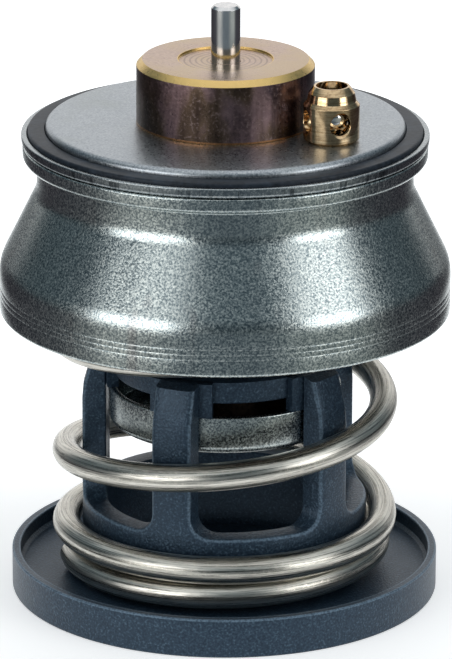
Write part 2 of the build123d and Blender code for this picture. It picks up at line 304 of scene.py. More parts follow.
def piece_from(name, form):
    """Turns a bmesh into a new piece of the scene."""
    mesh = bpy.data.meshes.new(name)
    form.to_mesh(mesh)
    form.free()
    piece = bpy.data.objects.new(name, mesh)
    bpy.context.scene.collection.objects.link(piece)
    return piece


def shape_tree(name, **sizes):
    """A geometry tree with a named input for each size, whose value is the socket's kind."""
    tree = bpy.data.node_groups.new(name, "GeometryNodeTree")
    for size, kind in {"geometry": "Geometry", **sizes, "finish": "Material"}.items():
        tree.interface.new_socket(size, in_out="INPUT", socket_type="NodeSocket" + kind)
    tree.interface.new_socket("geometry", in_out="OUTPUT", socket_type="NodeSocketGeometry")
    return tree, tree.nodes.new("NodeGroupInput").outputs


def step(tree, kind, link=0, **values):
    """Adds a node to a geometry tree, fills its named inputs and returns one of its outputs."""
    node = tree.nodes.new(kind)
    for name, value in values.items():
        feed(tree, node.inputs[name.replace("_", " ")], value)
    return node.outputs[link]


def end_tree(tree, sizes, geometry):
    """Ends a geometry tree: copies become real and get the finish."""
    real = step(tree, "GeometryNodeRealizeInstances", Geometry=geometry)
    painted = step(tree, "GeometryNodeSetMaterial", Geometry=real, Material=sizes["finish"])
    tree.links.new(painted, tree.nodes.new("NodeGroupOutput").inputs[0])


def shape(piece, tree, **sizes):
    """Runs a geometry tree on a piece and keeps the result as its plain mesh."""
    modifier = piece.modifiers.new(tree.name, "NODES")
    modifier.node_group = tree
    for socket in tree.interface.items_tree:
        if socket.in_out == "INPUT" and socket.name in sizes:
            modifier[socket.identifier] = sizes[socket.name]
    evaluated = piece.evaluated_get(bpy.context.evaluated_depsgraph_get())
    mesh = bpy.data.meshes.new_from_object(evaluated)
    piece.modifiers.remove(modifier)
    piece.data = mesh


def dress(piece, finish, body, slot, *nodes, sharp=32):
    """Smooths a piece, gives it its finish and its body, and hides the solids it stands for."""
    form = bmesh.new()
    form.from_mesh(piece.data)
    bmesh.ops.remove_doubles(form, verts=form.verts, dist=weld_distance * mm)
    bmesh.ops.recalc_face_normals(form, faces=form.faces)
    form.to_mesh(piece.data)
    form.free()
    piece.data.materials.clear()
    piece.data.materials.append(finish)
    piece.data.shade_smooth()
    piece.data.set_sharp_from_angle(angle=radians(sharp))
    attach(piece, body)
    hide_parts(*nodes)


def noise(tree, place, scale, detail=2.0, stretch=(1, 1, 1)):
    """Noise on a piece's coordinates; scale is in patches per metre."""
    mapping = tree.nodes.new("ShaderNodeMapping")
    mapping.inputs["Scale"].default_value = stretch
    tree.links.new(place, mapping.inputs["Vector"])
    texture = tree.nodes.new("ShaderNodeTexNoise")
    texture.inputs["Scale"].default_value = scale
    texture.inputs["Detail"].default_value = detail
    tree.links.new(mapping.outputs["Vector"], texture.inputs["Vector"])
    return texture.outputs["Fac"]


def polar(tree, place):
    """The radius and the height of a point about the main axis, in millimetres."""
    split = tree.nodes.new("ShaderNodeSeparateXYZ")
    tree.links.new(place, split.inputs[0])
    x, y, z = (calc(tree, "MULTIPLY", part, 1000.0) for part in split.outputs)
    return span(tree, x, y), z


def relief(tree, shader, height, depth):
    """Bumps the surface by a factor; depth is in millimetres."""
    bump = tree.nodes.new("ShaderNodeBump")
    bump.inputs["Distance"].default_value = depth * mm
    tree.links.new(height, bump.inputs["Height"])
    tree.links.new(bump.outputs["Normal"], shader.inputs["Normal"])


moulded, tree, shader, place = new_finish("moulded_plastic", (0.045, 0.065, 0.09), 0.5)
shader.inputs["Specular IOR Level"].default_value = 0.6
shader.inputs["Specular Tint"].default_value = (0.58, 0.78, 1.0, 1)
grain = noise(tree, place, 3000, 3)
clouds = noise(tree, place, 90, 2)
tone = ramp(
    tree, grain,
    (0.34, (0.004, 0.010, 0.020)), (0.56, (0.022, 0.040, 0.064)), (0.72, (0.085, 0.135, 0.18)),
)
tone = mix(tree, ranged(tree, clouds, 0.0, 0.4), tone, (0.012, 0.024, 0.040))
radius, height = polar(tree, place)
# The top edges of the tray rim and the chamfers round the windows are painted lighter, broken up by the
# grain: a painted highlight.
rim_edge = calc(tree, "ABSOLUTE", calc(tree, "SUBTRACT", radius, foot_radius - tray_rim / 2))
rim_edge = calc(tree, "GREATER_THAN", rim_edge, tray_rim / 2 - highlight_band_width)
on_top = calc(tree, "GREATER_THAN", height, foot_height - highlight_band_width)
on_rim = calc(tree, "GREATER_THAN", radius, foot_radius - tray_rim - rim_slack)
rim_edge = calc(tree, "MULTIPLY", calc(tree, "MULTIPLY", rim_edge, on_top), on_rim)
window_edge = tree.nodes.new("ShaderNodeAttribute")
window_edge.attribute_name = "edge"
painted_edge_highlight = calc(tree, "MAXIMUM", rim_edge, window_edge.outputs["Fac"])
painted_edge_highlight = calc(tree, "MULTIPLY", painted_edge_highlight, ranged(tree, grain, 0.3, 1.0, 0.35, 0.6))
tree.links.new(mix(tree, painted_edge_highlight, tone, (0.13, 0.19, 0.25)), shader.inputs["Base Color"])
tree.links.new(ranged(tree, clouds, 0.30, 0.42), shader.inputs["Roughness"])
relief(tree, shader, grain, 0.09)

form = bmesh.new()
lathe(form, [
    (port_radius, 0, 0.2),
    (foot_radius, 0, 0.3),
    (foot_radius, foot_height, 0.25),
    (foot_radius - tray_rim, foot_height, 0.2),
    (foot_radius - tray_rim, tray_floor_z + tray_corner, 0.2),
    (foot_radius - tray_rim - tray_corner, tray_floor_z, 0.1),
    (neck_radius, tray_floor_z, 0.3),
    (neck_radius, neck_top_z, 0.3),
    (cage_radius, neck_top_z + cage_radius - neck_radius, 0.3),
    (cage_radius, wall_foot_z, 0),
    (bore_radius, wall_foot_z, 0),
    (bore_radius, port_floor_z, 0),
    (port_radius, port_floor_z, 0.2),
])
lathe(form, [
    (guide_bore_radius, cage_top_z - guide_ring_height, 0.3),
    (guide_ring_radius, cage_top_z - guide_ring_height, 0.3),
    (guide_ring_radius, cage_top_z, 0),
    (guide_collar_radius, cage_top_z, 0.5),
    (guide_collar_radius, cage_top_z + guide_collar_height, 0.35),
    (guide_bore_radius, cage_top_z + guide_collar_height, 0.3),
])
dress(piece_from("foot_and_guide", form), moulded, "base", "moulded_plastic", "cage_foot")


def wall_row(inset, share=0.0, depth=0.0, bore=None):
    """Half of a line round a window, as (angle, height, radius) points from the top to the sill.

    The inset sets it back into the wall, and share spreads it over the post. It lies at a depth
    under the leaning outside, or on a bore of a given radius.
    """
    half_pitch = pi / post_count
    straight = sill_z + sill_corner
    top_z = cage_top_z if bore else post_top_z + post_top_rise * depth
    corner = sill_corner + inset
    line = [
        (post_width / 2 - inset, straight + (top_z - straight) * k / side_points)
        for k in range(side_points, 0, -1)
    ]
    for k in range(corner_steps + 1):
        turn = radians(90 * k / corner_steps)
        line.append((post_width / 2 + sill_corner - corner * cos(turn), straight - corner * sin(turn)))
    line += [(None, sill_z - inset)] * sill_steps
    row = []
    for k, (from_post, z) in enumerate(line):
        lean = max(0.0, z - taper_start_z) / (post_top_z - taper_start_z)
        r = bore or cage_radius + (post_top_radius - cage_radius) * min(1, lean) - depth
        if from_post is None:
            corner_angle = half_pitch - asin((post_width / 2 + sill_corner) / r)
            angle = corner_angle * (1 - (k - side_points - corner_steps) / sill_steps)
        else:
            angle = half_pitch - asin(from_post / r)
        below = max(0, k - side_points) / (len(line) - 1 - side_points)
        angle += (half_pitch * (1 - below) - angle) * share
        z += ((z if k < side_points else wall_foot_z) - z) * share
        row.append((angle, z, r))
    return row


rows = [wall_row(post_edge, share) for share in (1, 0.75, 0.5, 0.25)]
edge_rows = len(rows)
for turn in (0, 30, 60, 90):
    inset = post_edge * (1 - sin(radians(turn)))
    rows.append(wall_row(inset, depth=post_edge * (1 - cos(radians(turn)))))
rows.append(wall_row(0, bore=bore_radius + bore_edge))
rows += [wall_row(bore_edge, share, bore=bore_radius) for share in (0, 0.5, 1)]
form = bmesh.new()
edge = form.verts.layers.float.new("edge")
sleeve = []
for row in rows:
    both = [(-a, z, r) for a, z, r in row] + [(a, z, r) for a, z, r in reversed(row[:-1])]
    sleeve.append([form.verts.new((r * mm * cos(a), r * mm * sin(a), z * mm)) for a, z, r in both])
# The rows on the window chamfers carry the painted highlight.
for vertex in sleeve[edge_rows + 1] + sleeve[edge_rows + 2]:
    vertex[edge] = highlight_strength
for near, far in zip(sleeve, sleeve[1:]):
    for k in range(len(near) - 1):
        form.faces.new((near[k], near[k + 1], far[k + 1], far[k]))
for end in (0, -1):
    form.faces.new([row[end] for row in sleeve])
for k in range(side_points, len(sleeve[0]) - 1 - side_points):
    form.faces.new((sleeve[0][k], sleeve[0][k + 1], sleeve[-1][k + 1], sleeve[-1][k]))
web_arc = []
web_section = (
    (web_inner_radius, web_foot_z), (bore_radius, web_foot_z),
    (bore_radius, cage_top_z), (web_inner_radius, cage_top_z),
)
for k in range(web_steps + 1):
    a = pi / post_count + radians(web_half_angle) * (2 * k / web_steps - 1)
    web_arc.append([form.verts.new((r * mm * cos(a), r * mm * sin(a), z * mm)) for r, z in web_section])
for near, far in zip(web_arc, web_arc[1:]):
    for k in range(4):
        form.faces.new((near[k], near[(k + 1) % 4], far[(k + 1) % 4], far[k]))
form.faces.new(web_arc[0])
form.faces.new(web_arc[-1])
cage_walls = piece_from("cage_walls", form)


def turned_copies(tree, sizes, original):
    """Copies of a form, each turned one share of a full turn further round the axis."""
    spots = step(tree, "GeometryNodePoints", Count=sizes["copies"])
    turn = calc(tree, "DIVIDE", 2 * pi, sizes["copies"])
    turn = calc(tree, "MULTIPLY", turn, step(tree, "GeometryNodeInputIndex"))
    turn = step(tree, "ShaderNodeCombineXYZ", Z=calc(tree, "ADD", turn, sizes["first_angle"]))
    turn = step(tree, "FunctionNodeEulerToRotation", Euler=turn)
    return step(tree, "GeometryNodeInstanceOnPoints", Points=spots, Instance=original, Rotation=turn)


round_copies, sizes = shape_tree("copies_round_the_axis", copies="Int", first_angle="Float")
end_tree(round_copies, sizes, turned_copies(round_copies, sizes, sizes["geometry"]))
shape(
    cage_walls, round_copies, copies=post_count,
    first_angle=radians(first_post_at + 180 / post_count), finish=moulded,
)
dress(cage_walls, moulded, "base", "moulded_plastic", "cage_foot")

# Bell: pressed stainless steel, with a hem at the top under the seal's carrier and a rolled bead
# round its open mouth. It is blasted to a coarse grain, with three rolling marks near the mouth.
bell_sheet = 0.8
bell_flange_radius = 30.3
bell_hem_height = 2.35
bell_neck_radius = 28.2
bell_cone_top_z = 63.0
bell_cone_bottom_z = 51.4
bell_radius = 33.93
bell_lip_z = 44.1
bell_top_z = 70.0
bell_bead_height = 1.2
bell_bead_depth = 1.6
rolling_marks_z = (48.3, 47.5, 46.7)
rolling_mark_depth = 0.025
rolling_mark_half = 0.12
sheet_steps = 320


def sheet_side(middle, offset):
    """One face of a bent sheet: its middle line's (radius, height, bend) corners, moved sideways."""
    side = []
    for i, (r, z, bend) in enumerate(middle):
        here = Vector((r, z))
        runs = []
        if i > 0:
            runs.append((here - Vector(middle[i - 1][:2])).normalized())
        if i < len(middle) - 1:
            runs.append((Vector(middle[i + 1][:2]) - here).normalized())
        normal = sum((Vector((run.y, -run.x)) for run in runs), Vector((0, 0))).normalized()
        mitre = normal.dot(Vector((runs[0].y, -runs[0].x)))
        turn = runs[0].x * runs[-1].y - runs[0].y * runs[-1].x
        moved = here + normal * (offset / mitre)
        side.append((moved.x, moved.y, max(0.0, bend + (offset if turn > 0 else -offset)) if bend else 0))
    return side


def blasted(name, dark, light, bright, roughness, scale, depth):
    """A grained steel: dark and light grains a third of a millimetre wide, with bright specks."""
    finish, tree, shader, place = new_finish(name, light, roughness, 1.0)
    grain = noise(tree, place, scale, 2)
    tone = ramp(tree, grain, (0.34, dark), (0.56, light), (0.70, bright))
    gloss = ranged(tree, grain, roughness - 0.04, roughness + 0.10, 0.3, 0.7)
    tree.links.new(gloss, shader.inputs["Roughness"])
    relief(tree, shader, grain, depth)
    return finish, tree, shader, place, tone


wall = [
    (bell_neck_radius - bell_sheet / 2, bell_top_z, 0),
    (bell_neck_radius - bell_sheet / 2, bell_cone_top_z, 5),
    (bell_radius - bell_sheet / 2, bell_cone_bottom_z, 9),
    (bell_radius - bell_sheet / 2, bell_lip_z, 0),
]
faces = (sheet_side(wall, side * bell_sheet / 2) for side in (-1, 1))
outside, inside = sorted(faces, reverse=True)
hem_z = bell_top_z - bell_hem_height
marks = []
for z in rolling_marks_z:
    marks.append((bell_radius, z + rolling_mark_half, 0))
    marks.append((bell_radius - rolling_mark_depth, z, 0))
    marks.append((bell_radius, z - rolling_mark_half, 0))
form = bmesh.new()
lathe(form, [
    (inside[0][0], bell_top_z, 0),
    (bell_flange_radius, bell_top_z, 0.3),
    (bell_flange_radius, hem_z, 0.9),
    (bell_neck_radius, hem_z, 0.7),
    *outside[1:3],
    *marks,
    (bell_radius, bell_lip_z, 0.55),
    (bell_radius - bell_bead_depth, bell_lip_z, 0.55),
    (bell_radius - bell_bead_depth, bell_lip_z + bell_bead_height, 0.5),
    (bell_radius - bell_sheet, bell_lip_z + bell_bead_height, 0.2),
    *inside[2:0:-1],
], steps=sheet_steps)
bell_steel, tree, shader, place, tone = blasted(
    "bell_steel", (0.20, 0.25, 0.27), (0.62, 0.67, 0.65), (0.84, 0.88, 0.83), 0.22, 3400, 0.020
)
bands = noise(tree, place, 120, 3, (1, 1, 0.06))
rust = noise(tree, place, 260, 2, (1, 1, 0.04))
tone = mix(tree, ranged(tree, bands, 0.0, 0.40, 0.46, 0.72), tone, (0.20, 0.24, 0.26))
tone = mix(tree, ranged(tree, rust, 0.0, 0.35, 0.60, 0.75), tone, (0.20, 0.14, 0.14))
tree.links.new(tone, shader.inputs["Base Color"])
dress(piece_from("bell_shell", form), bell_steel, "valve", "pressed_steel", "bell", sharp=20)

# Carrier plate: the pressed dish under the seal, smoother than the bell, with an upturned rim
# that was nicked all round by the press.
disc_top_z = 73.2
disc_sheet = 1.0
carrier_radius = 30.47
carrier_sheet = 0.9
carrier_rim_z = 71.6
carrier_step_radius = 22.0
plate_hole_radius = 12.5
nick_top_z = 71.3
rim_radius = carrier_radius - carrier_sheet / 2
dish_z = bell_top_z + carrier_sheet / 2


def bent_sheet(middle, sheet, end_round):
    """The closed outline of a bent sheet with lightly rounded ends."""
    sides = sheet_side(middle, sheet / 2), sheet_side(middle, -sheet / 2)[::-1]
    return [
        (r, z, end_round if k in (0, len(side) - 1) else bend)
        for side in sides for k, (r, z, bend) in enumerate(side)
    ]


form = bmesh.new()
lathe(form, bent_sheet([
    (plate_hole_radius, disc_top_z - disc_sheet - carrier_sheet / 2, 0),
    (carrier_step_radius, disc_top_z - disc_sheet - carrier_sheet / 2, 0.5),
    (carrier_step_radius + carrier_sheet, dish_z, 0.5),
    (rim_radius, dish_z, 0.5),
    (rim_radius, carrier_rim_z, 0),
], carrier_sheet, 0.2), steps=sheet_steps)
carrier_steel, tree, shader, place, tone = blasted(
    "carrier_steel", (0.24, 0.27, 0.29), (0.38, 0.41, 0.42), (0.52, 0.54, 0.53), 0.20, 3200, 0.008
)
radius, height = polar(tree, place)
nick = noise(tree, place, 1500, 2, (1, 1, 0.05))
nick = ranged(tree, nick, 0.0, 0.75, 0.54, 0.66)
nick = calc(tree, "MULTIPLY", nick, calc(tree, "LESS_THAN", height, nick_top_z))
tree.links.new(mix(tree, nick, tone, (0.03, 0.04, 0.05)), shader.inputs["Base Color"])
dress(piece_from("carrier_dish", form), carrier_steel, "valve", "pressed_steel", "carrier_plate")

# Seal: a moulded rubber ring, clamped on the carrier plate by the edge of the top disc. It closes
# on the seat in the housing, and is bluish where it is worn.
seal_inner_radius = 23.4
seal_radius = 29.5
seal_outer_z = 72.17
seal_top_z = 72.2
groove_outer_radius = 26.96
groove_inner_radius = 25.76
groove_floor_z = 71.5
groove_shoulder_z = 71.7
shoulder_radius = 25.26
form = bmesh.new()
lathe(form, [
    (seal_inner_radius, bell_top_z + carrier_sheet, 0),
    (seal_radius, bell_top_z + carrier_sheet, 0.2),
    (seal_radius, seal_outer_z, 0.35),
    (groove_outer_radius, seal_top_z, 0.15),
    (groove_outer_radius, groove_floor_z, 0),
    (groove_inner_radius, groove_floor_z, 0),
    (groove_inner_radius, groove_shoulder_z, 0),
    (shoulder_radius, disc_top_z - disc_sheet, 0),
    (seal_inner_radius, disc_top_z - disc_sheet, 0),
], steps=sheet_steps)
rubber, tree, shader, place = new_finish("seal_rubber", (0.03, 0.035, 0.045), 0.42)
shader.inputs["Specular IOR Level"].default_value = 0.25
grain = noise(tree, place, 1500, 3)
scuffs = noise(tree, place, 240, 3)
tone = ramp(tree, grain, (0.3, (0.006, 0.010, 0.015)), (0.7, (0.024, 0.032, 0.045)))
tone = mix(tree, ranged(tree, scuffs, 0.0, 0.5, 0.5, 0.75), tone, (0.05, 0.07, 0.10))
tree.links.new(tone, shader.inputs["Base Color"])
relief(tree, shader, grain, 0.03)
dress(piece_from("rubber_ring", form), rubber, "valve", "seal_rubber", "seal_ring")

# Top disc: satin pressed sheet with its edge rolled down into the seal's groove. The shoulder of
# the element's head holds it down.
disc_radius = 26.86
disc_edge_drop = 1.7
form = bmesh.new()
lathe(form, bent_sheet([
    (plate_hole_radius, disc_top_z - disc_sheet / 2, 0),
    (disc_radius - disc_sheet / 2, disc_top_z - disc_sheet / 2, 1.0),
    (disc_radius - disc_sheet / 2, disc_top_z - disc_edge_drop, 0),
], disc_sheet, 0.15), steps=sheet_steps)
disc_steel, tree, shader, place, tone = blasted(
    "disc_steel", (0.28, 0.31, 0.34), (0.43, 0.46, 0.49), (0.55, 0.58, 0.59), 0.31, 3600, 0.008
)
stains = noise(tree, place, 160, 3)
tone = mix(tree, ranged(tree, stains, 0.0, 0.35, 0.5, 0.75), tone, (0.30, 0.33, 0.31))
tree.links.new(tone, shader.inputs["Base Color"])
dress(piece_from("clamp_disc", form), disc_steel, "valve", "disc_steel", "top_disc")

# Element head: turned brass with rings from the tool on top, and brown and violet with tarnish
# on its side. The pin's bore runs through it.
head_radius = 13.3
head_top_z = 82.8
head_chamfer = 0.9
head_recess_radius = 7.07
head_recess_depth = 0.35
spigot_radius = 12.4
spigot_foot_z = 64.6
bulb_recess_radius = 10.7
bulb_recess_z = 65.5
pin_bore_radius = 2.24
ring_pitch = 0.85
recess_line = 0.12
side_slack = 0.02
foot_line_height = 0.35
form = bmesh.new()
lathe(form, [
    (pin_bore_radius, head_top_z - head_recess_depth, 0.1),
    (head_recess_radius, head_top_z - head_recess_depth, 0.12),
    (head_recess_radius, head_top_z, 0.08),
    (head_radius - head_chamfer, head_top_z, 0.12),
    (head_radius, head_top_z - head_chamfer, 0.15),
    (head_radius, disc_top_z, 0.1),
    (spigot_radius, disc_top_z, 0),
    (spigot_radius, spigot_foot_z, 0.3),
    (bulb_recess_radius, spigot_foot_z, 0.1),
    (bulb_recess_radius, bulb_recess_z, 0),
    (pin_bore_radius, bulb_recess_z, 0),
])
brass, tree, shader, place = new_finish("brass", (0.75, 0.55, 0.36), 0.3, 1.0)
radius, height = polar(tree, place)
streaks = noise(tree, place, 520, 3, (1, 1, 0.06))
patches = noise(tree, place, 110, 3, (1, 1, 0.6))
speckle = noise(tree, place, 2300, 2)
tarnish = ramp(
    tree, patches,
    (0.34, (0.06, 0.040, 0.032)), (0.46, (0.15, 0.10, 0.07)),
    (0.54, (0.27, 0.175, 0.18)), (0.66, (0.08, 0.055, 0.065)),
)
tarnish = mix(tree, ranged(tree, streaks, 0.0, 0.75, 0.42, 0.68), tarnish, (0.035, 0.022, 0.020))
tarnish = mix(tree, ranged(tree, speckle, 0.0, 0.5, 0.55, 0.75), tarnish, (0.34, 0.25, 0.24))
rings = calc(tree, "SINE", calc(tree, "MULTIPLY", radius, 2 * pi / ring_pitch))
rings = calc(tree, "MULTIPLY", rings, calc(tree, "LESS_THAN", radius, head_recess_radius))
clean = mix(tree, ranged(tree, speckle, 0.0, 1.0, 0.35, 0.65), (0.44, 0.31, 0.24), (0.62, 0.47, 0.38))
clean = mix(tree, ranged(tree, patches, 0.0, 0.5, 0.45, 0.6), clean, (0.56, 0.42, 0.22))
clean = mix(tree, ranged(tree, rings, 0.0, 0.55, 0.2, 1.0), clean, (0.20, 0.13, 0.11))
edges = calc(tree, "GREATER_THAN", radius, head_radius - head_chamfer)
recess_wall = calc(tree, "COMPARE", radius, head_recess_radius)
recess_wall.node.inputs[2].default_value = recess_line
gold = calc(tree, "MAXIMUM", edges, recess_wall)
clean = mix(tree, gold, clean, (0.80, 0.56, 0.22))
on_side = calc(tree, "GREATER_THAN", radius, head_radius - side_slack)
foot_line = calc(tree, "LESS_THAN", height, disc_top_z + foot_line_height)
tarnish = mix(tree, foot_line, tarnish, (0.34, 0.17, 0.08))
tree.links.new(mix(tree, on_side, clean, tarnish), shader.inputs["Base Color"])
tree.links.new(ranged(tree, speckle, 0.26, 0.40, 0.3, 0.7), shader.inputs["Roughness"])
relief(tree, shader, speckle, 0.02)
dress(piece_from("element_cap", form), brass, "valve", "brass", "element_head")

# Pin: hardened steel, ground and polished, sliding in the bore of the element's head. Its end
# stands against the housing's cover.
pin_radius = 2.2
pin_foot_z = 37.0
pin_top_z = 91.0
pin_chamfer = 0.4
form = bmesh.new()
lathe(form, [
    (0, pin_foot_z, 0), (pin_radius, pin_foot_z, 0.1), (pin_radius, pin_top_z - pin_chamfer, 0.05),
    (pin_radius - pin_chamfer, pin_top_z, 0.05), (0, pin_top_z, 0),
], steps=96)
pin_steel, tree, shader, place = new_finish("pin_steel", (0.72, 0.73, 0.74), 0.12, 1.0)
wipe = noise(tree, place, 900, 3, (1, 1, 0.3))
tone = ramp(tree, wipe, (0.3, (0.62, 0.62, 0.63)), (0.7, (0.80, 0.79, 0.78)))
tree.links.new(tone, shader.inputs["Base Color"])
tree.links.new(ranged(tree, wipe, 0.07, 0.15), shader.inputs["Roughness"])
dress(piece_from("polished_pin", form), pin_steel, "pin", "pin_steel", "piston_pin")

# Bulb, wax, boot, backup ring and the two spring clips: plain inner pieces of the element, turned,
# cast or stamped. They keep the shape of their solids and only get a finish.
inner_finishes = (
    # The bulb's brass is painted nearly black: painted shade for the dark inside of the cage, seen through
    # its windows.
    ("bulb_brass", (0.018, 0.013, 0.010), (0.055, 0.038, 0.026), 0.5, 0.8, ("wax_bulb",)),
    ("wax_copper", (0.45, 0.26, 0.16), (0.66, 0.42, 0.28), 0.6, 0.0, ("wax_charge",)),
    ("boot_rubber", (0.020, 0.024, 0.030), (0.050, 0.056, 0.064), 0.6, 0.0, ("rubber_boot",)),
    ("backup_white", (0.74, 0.74, 0.71), (0.84, 0.84, 0.80), 0.4, 0.0, ("backup_washer",)),
    ("clip_steel", (0.20, 0.20, 0.21), (0.42, 0.42, 0.42), 0.35, 1.0, ("head_circlip", "cup_clip")),
)
for name, dark, light, roughness, metallic, nodes in inner_finishes:
    finish, tree, shader, place = new_finish(name, light, roughness, metallic)
    grain = noise(tree, place, 1600, 3)
    tree.links.new(ramp(tree, grain, (0.35, dark), (0.65, light)), shader.inputs["Base Color"])
    tree.links.new(ranged(tree, grain, roughness - 0.06, roughness + 0.06), shader.inputs["Roughness"])
    for node in nodes:
        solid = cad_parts[node]
        solid.data.materials.clear()
        solid.data.materials.append(finish)

# Bypass cup: a pressed dish on the bulb's stub, which closes the lower bore when the valve opens.
# Its wall is grey and grainy from the press, with a bright rim and corner.
cup_radius = 17.6
cup_sheet = 1.0
cup_floor_z = 26.5
cup_rim_z = 32.3
cup_corner = 0.8
stub_radius = 3.0
form = bmesh.new()
lathe(form, bent_sheet([
    (stub_radius, cup_floor_z + cup_sheet / 2, 0),
    (cup_radius - cup_sheet / 2, cup_floor_z + cup_sheet / 2, cup_corner),
    (cup_radius - cup_sheet / 2, cup_rim_z, 0),
], cup_sheet, 0.25))
cup_steel, tree, shader, place, tone = blasted(
    "cup_steel", (0.17, 0.20, 0.21), (0.54, 0.59, 0.58), (0.82, 0.86, 0.82), 0.24, 3600, 0.012
)
patches = noise(tree, place, 190, 3)
tone = mix(tree, ranged(tree, patches, 0.0, 0.55, 0.48, 0.66), tone, (0.14, 0.16, 0.16))
tree.links.new(tone, shader.inputs["Base Color"])
dress(piece_from("cup_dish", form), cup_steel, "valve", "cup_steel", "bypass_cup")

# Main spring: round drawn wire with closed ends, wider in the middle than in its first coil. The
# drawing die left fine marks along the wire.
wire_radius = 2.1
coil_radius = 24.1
end_coil_radius = 23.15
coil_start_at = 188.0
coil_turns = 5.35
closed_turns = 1.45
top_closed_turns = 1.0
coil_lean = 0.6
coil_points = 420
wire_sides = 24

coil, sizes = shape_tree(
    "coil_of_wire", wire_radius="Float", coil_radius="Float", end_coil_radius="Float", start_angle="Float",
    turns="Float", closed_turns="Float", top_closed_turns="Float", foot="Float", top="Float", lean="Float",
)
line = step(coil, "GeometryNodeMeshLine", Count=coil_points)
turn = calc(coil, "DIVIDE", step(coil, "GeometryNodeInputIndex"), float(coil_points - 1))
turn = calc(coil, "MULTIPLY", turn, sizes["turns"])
opens = sizes["closed_turns"]
closes = calc(coil, "SUBTRACT", sizes["turns"], sizes["top_closed_turns"])
closed_pitch = calc(coil, "MULTIPLY", sizes["wire_radius"], 2.0)
low = calc(coil, "ADD", sizes["foot"], sizes["wire_radius"])
high = calc(coil, "SUBTRACT", sizes["top"], sizes["wire_radius"])
foot_coils = calc(coil, "MULTIPLY", closed_pitch, opens)
top_coils = calc(coil, "MULTIPLY", closed_pitch, sizes["top_closed_turns"])
rise = calc(coil, "SUBTRACT", calc(coil, "SUBTRACT", high, low), calc(coil, "ADD", foot_coils, top_coils))
open_share = ranged(coil, turn, 0.0, 1.0, opens, closes)
height = calc(coil, "ADD", low, ranged(coil, turn, 0.0, foot_coils, 0.0, opens))
height = calc(coil, "ADD", height, calc(coil, "MULTIPLY", open_share, rise))
height = calc(coil, "ADD", height, ranged(coil, turn, 0.0, top_coils, closes, sizes["turns"]))
angle = calc(coil, "ADD", sizes["start_angle"], calc(coil, "MULTIPLY", turn, 2 * pi))
leaning = calc(coil, "MULTIPLY", calc(coil, "MINIMUM", turn, 1.0), calc(coil, "SUBTRACT", 1.0, open_share))
leaning = calc(coil, "MULTIPLY", leaning, calc(coil, "MULTIPLY", sizes["lean"], calc(coil, "COSINE", angle)))
reach = ranged(coil, turn, sizes["end_coil_radius"], sizes["coil_radius"], 0.5, 1.0)
spot = step(
    coil, "ShaderNodeCombineXYZ",
    X=calc(coil, "MULTIPLY", reach, calc(coil, "COSINE", angle)),
    Y=calc(coil, "MULTIPLY", reach, calc(coil, "SINE", angle)),
    Z=calc(coil, "SUBTRACT", height, leaning),
)
line = step(coil, "GeometryNodeSetPosition", Geometry=line, Position=spot)
line = step(coil, "GeometryNodeStoreNamedAttribute", Geometry=line, Name="turn", Value=turn)
line = step(coil, "GeometryNodeMeshToCurve", Mesh=line)
upright = coil.nodes.new("GeometryNodeSetCurveNormal")
upright.mode = "Z_UP"
coil.links.new(line, upright.inputs["Curve"])
hoop = step(coil, "GeometryNodeCurvePrimitiveCircle", Resolution=wire_sides, Radius=sizes["wire_radius"])
around = coil.nodes.new("GeometryNodeStoreNamedAttribute")
around.data_type = "FLOAT_VECTOR"
feed(coil, around.inputs["Geometry"], hoop)
feed(coil, around.inputs["Name"], "around")
feed(coil, around.inputs["Value"], step(coil, "GeometryNodeInputPosition"))
wire = step(
    coil, "GeometryNodeCurveToMesh",
    Curve=upright.outputs[0], Profile_Curve=around.outputs[0], Fill_Caps=True,
)
end_tree(coil, sizes, wire)

spring_steel, tree, shader, place = new_finish("spring_steel", (0.5, 0.5, 0.5), 0.3, 1.0)
along = tree.nodes.new("ShaderNodeAttribute")
along.attribute_name = "turn"
across = tree.nodes.new("ShaderNodeAttribute")
across.attribute_name = "around"
split = tree.nodes.new("ShaderNodeSeparateXYZ")
tree.links.new(across.outputs["Vector"], split.inputs[0])
drawn = tree.nodes.new("ShaderNodeCombineXYZ")
tree.links.new(calc(tree, "MULTIPLY", split.outputs[0], 1000 / wire_radius), drawn.inputs[0])
tree.links.new(calc(tree, "MULTIPLY", split.outputs[1], 1000 / wire_radius), drawn.inputs[1])
tree.links.new(along.outputs["Fac"], drawn.inputs[2])
streaks = noise(tree, drawn.outputs[0], 7, 3, (1, 1, 1.1))
fine = noise(tree, drawn.outputs[0], 14, 3, (1, 1, 3))
grain = noise(tree, place, 1900, 2)
tone = ramp(tree, streaks, (0.34, (0.22, 0.21, 0.18)), (0.50, (0.60, 0.58, 0.52)), (0.68, (0.88, 0.85, 0.77)))
tone = mix(tree, ranged(tree, fine, 0.0, 0.65, 0.5, 0.7), tone, (0.13, 0.13, 0.12))
tone = mix(tree, ranged(tree, grain, 0.0, 0.55, 0.5, 0.72), tone, (0.66, 0.62, 0.55))
tree.links.new(tone, shader.inputs["Base Color"])
tree.links.new(ranged(tree, streaks, 0.22, 0.36, 0.3, 0.7), shader.inputs["Roughness"])
relief(tree, shader, fine, 0.03)

spring = piece_from("coil_spring", bmesh.new())
shape(
    spring, coil, wire_radius=wire_radius * mm, coil_radius=coil_radius * mm,
    end_coil_radius=end_coil_radius * mm, start_angle=radians(coil_start_at), turns=coil_turns,
    closed_turns=closed_turns, top_closed_turns=top_closed_turns, foot=tray_floor_z * mm,
    top=bell_top_z * mm, lean=coil_lean * mm, finish=spring_steel,
)
dress(spring, spring_steel, "base", "spring_steel", "main_spring", sharp=50)
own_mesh(spring)

